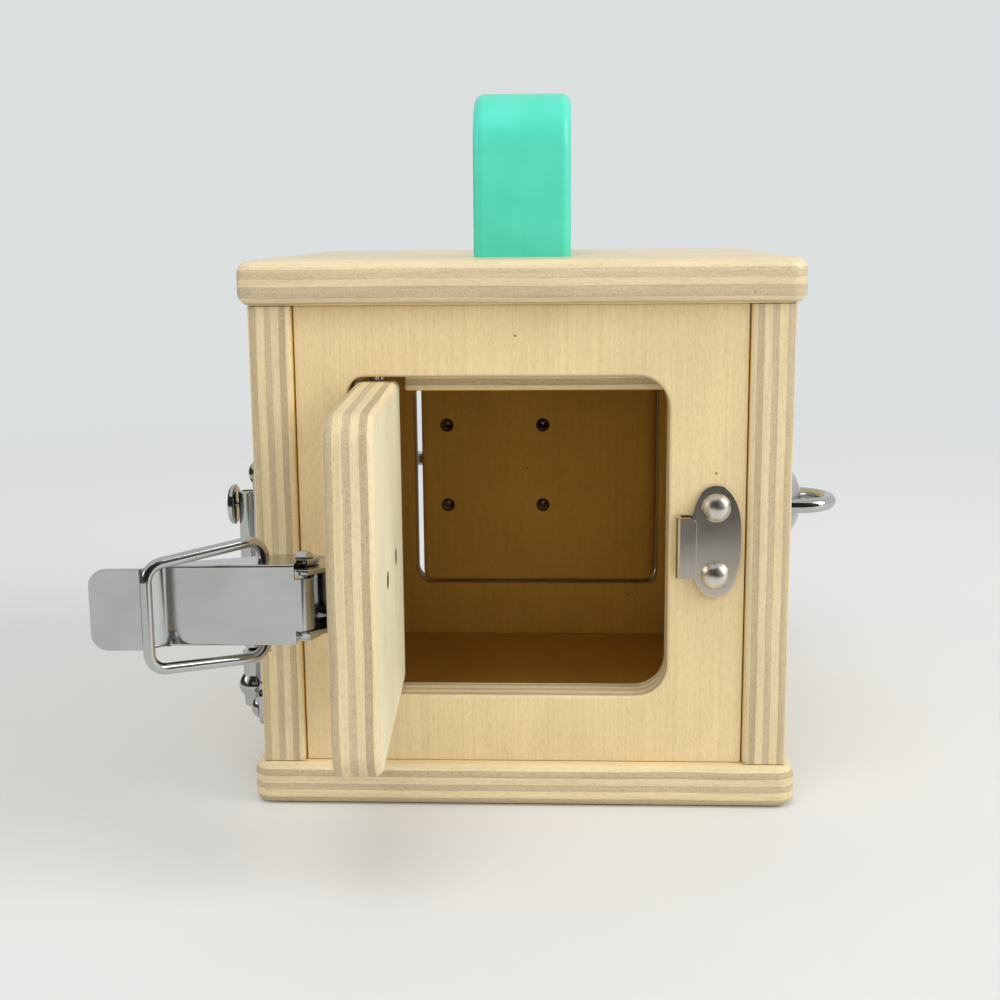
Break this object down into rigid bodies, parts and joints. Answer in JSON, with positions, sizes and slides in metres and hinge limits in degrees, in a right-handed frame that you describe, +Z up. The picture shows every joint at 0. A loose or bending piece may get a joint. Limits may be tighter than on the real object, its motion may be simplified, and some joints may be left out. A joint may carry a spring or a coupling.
{
  "type": "lock box",
  "caption": "Small plywood toy box with a plastic carrying handle and a pin-hinged door in each side, held by a draw latch, a barrel bolt, a drop bolt or a hook.",
  "frame": {"origin": "centre of the underside of the base", "axes": "+X to the right seen from the front, +Y to the back, +Z up; the open front door is on -Y"},
  "size_m": [0.1383, 0.1796, 0.148],
  "materials": {
    "birch_plywood": "satin lacquer",
    "bright_nickel": "polished",
    "mint_plastic": "gloss"
  },
  "bodies": {
    "case": {"base": "birch_plywood", "lid": "birch_plywood", "front_panel": "birch_plywood", "back_panel": "birch_plywood", "left_panel": "birch_plywood", "right_panel": "birch_plywood", "base_dowels": "birch_plywood", "lid_dowels": "birch_plywood", "front_stop": "birch_plywood", "back_stop": "birch_plywood", "left_stop": "birch_plywood", "right_stop": "birch_plywood", "front_hinge_pins": "bright_nickel", "back_hinge_pins": "bright_nickel", "left_hinge_pins": "bright_nickel", "right_hinge_pins": "bright_nickel", "handle": "mint_plastic", "handle_screws": "bright_nickel", "latch_keeper": "bright_nickel", "keeper_screws": "bright_nickel", "bolt_keeper": "bright_nickel", "bolt_keeper_screws": "bright_nickel", "drop_base": "bright_nickel", "drop_screws": "bright_nickel", "staple": "bright_nickel"},
    "front_door": {"front_door": "birch_plywood", "latch_base": "bright_nickel", "latch_screws": "bright_nickel", "latch_rivet": "bright_nickel"},
    "latch_lever": {"latch_lever": "bright_nickel"},
    "latch_bail": {"latch_bail": "bright_nickel"},
    "back_door": {"back_door": "birch_plywood", "bolt_base": "bright_nickel", "bolt_screws": "bright_nickel"},
    "back_bolt": {"bolt_rod": "bright_nickel", "bolt_knob": "bright_nickel"},
    "left_door": {"left_door": "birch_plywood", "drop_tongue": "bright_nickel", "tongue_screws": "bright_nickel"},
    "drop_bolt": {"drop_rod": "bright_nickel", "drop_knob": "bright_nickel"},
    "right_door": {"right_door": "birch_plywood", "hook_mount": "bright_nickel"},
    "hook": {"hook": "bright_nickel"}
  },
  "joints": [
    {"name": "front_door_hinge", "type": "hinge", "parent": "case", "child": "front_door", "pos_m": [-0.0295, -0.0492, 0.057], "axis": [0, 0, 1], "range_deg": [-10, 87.7]},
    {"name": "latch_lever_pivot", "type": "hinge", "parent": "front_door", "child": "latch_lever", "pos_m": [-0.03697, -0.09734, 0.056], "axis": [0, 0, 1], "range_deg": [-90, 0]},
    {"name": "latch_bail_pivot", "type": "hinge", "parent": "latch_lever", "child": "latch_bail", "pos_m": [-0.04393, -0.09862, 0.056], "axis": [0, 0, 1], "range_deg": [-13, 62]},
    {"name": "back_door_hinge", "type": "hinge", "parent": "case", "child": "back_door", "pos_m": [0.0284, 0.0492, 0.057], "axis": [0, 0, 1], "range_deg": [-98, 0]},
    {"name": "back_bolt_slide", "type": "slide", "parent": "back_door", "child": "back_bolt", "axis": [-1, 0, 0], "range_m": [0, 0.008]},
    {"name": "left_door_hinge", "type": "hinge", "parent": "case", "child": "left_door", "pos_m": [-0.0505, 0.027, 0.057], "axis": [0, 0, 1], "range_deg": [-98, 0]},
    {"name": "drop_bolt_slide", "type": "slide", "parent": "case", "child": "drop_bolt", "axis": [0, 0, -1], "range_m": [0, 0.012]},
    {"name": "right_door_hinge", "type": "hinge", "parent": "case", "child": "right_door", "pos_m": [0.0505, 0.027, 0.057], "axis": [0, 0, 1], "range_deg": [0, 98]},
    {"name": "hook_pivot", "type": "hinge", "parent": "right_door", "child": "hook", "pos_m": [0.06055, 0.004, 0.0668], "axis": [1, 0, 0], "range_deg": [0, 270]}
  ]
}
